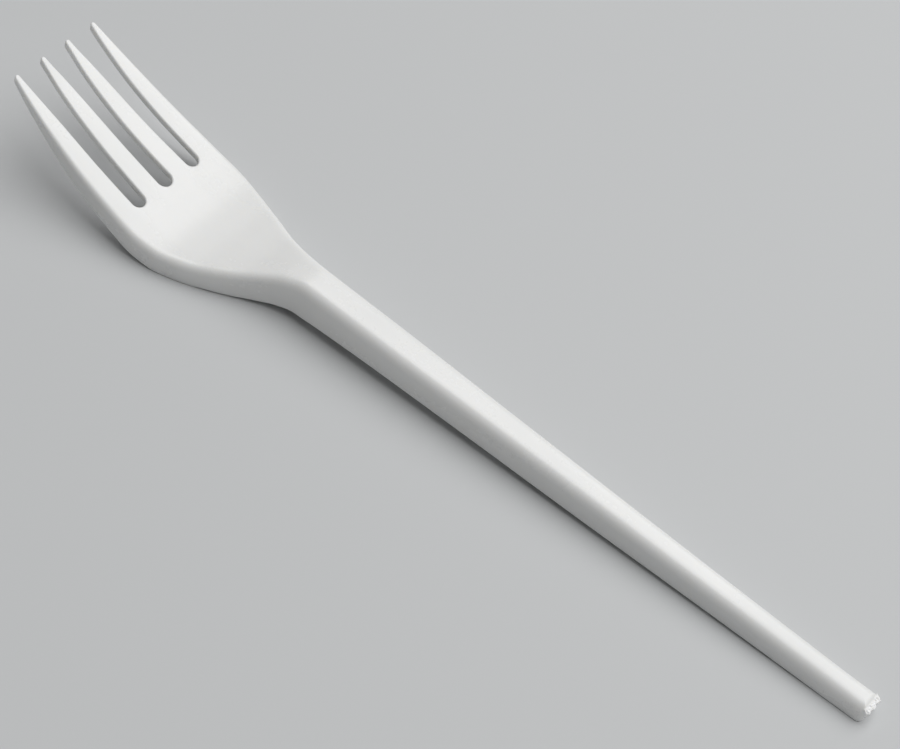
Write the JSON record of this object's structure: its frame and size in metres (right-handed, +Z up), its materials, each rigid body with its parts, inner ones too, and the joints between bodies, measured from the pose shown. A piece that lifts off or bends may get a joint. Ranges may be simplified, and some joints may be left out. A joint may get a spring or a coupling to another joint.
{
  "type": "disposable plastic fork",
  "caption": "White moulded plastic table fork with tapering tines, a shallow palm, and a slender tapered handle that is an open channel below, ending in a snapped-off gate",
  "frame": {"origin": "middle of the bounding box's bottom face, on the table that the fork lies on", "axes": "+X along the fork, from the tine tips to the end of the handle; +Z up; +Y across it. The fork lies on the bottom of its palm and on the end of its handle, with the tines' tips up"},
  "size_m": [0.1652, 0.0252, 0.0162],
  "materials": {
    "white_plastic": "smooth glossy moulded polystyrene, a little translucent in thin places"
  },
  "bodies": {
    "root": {"fork": "white_plastic"}
  },
  "joints": []
}
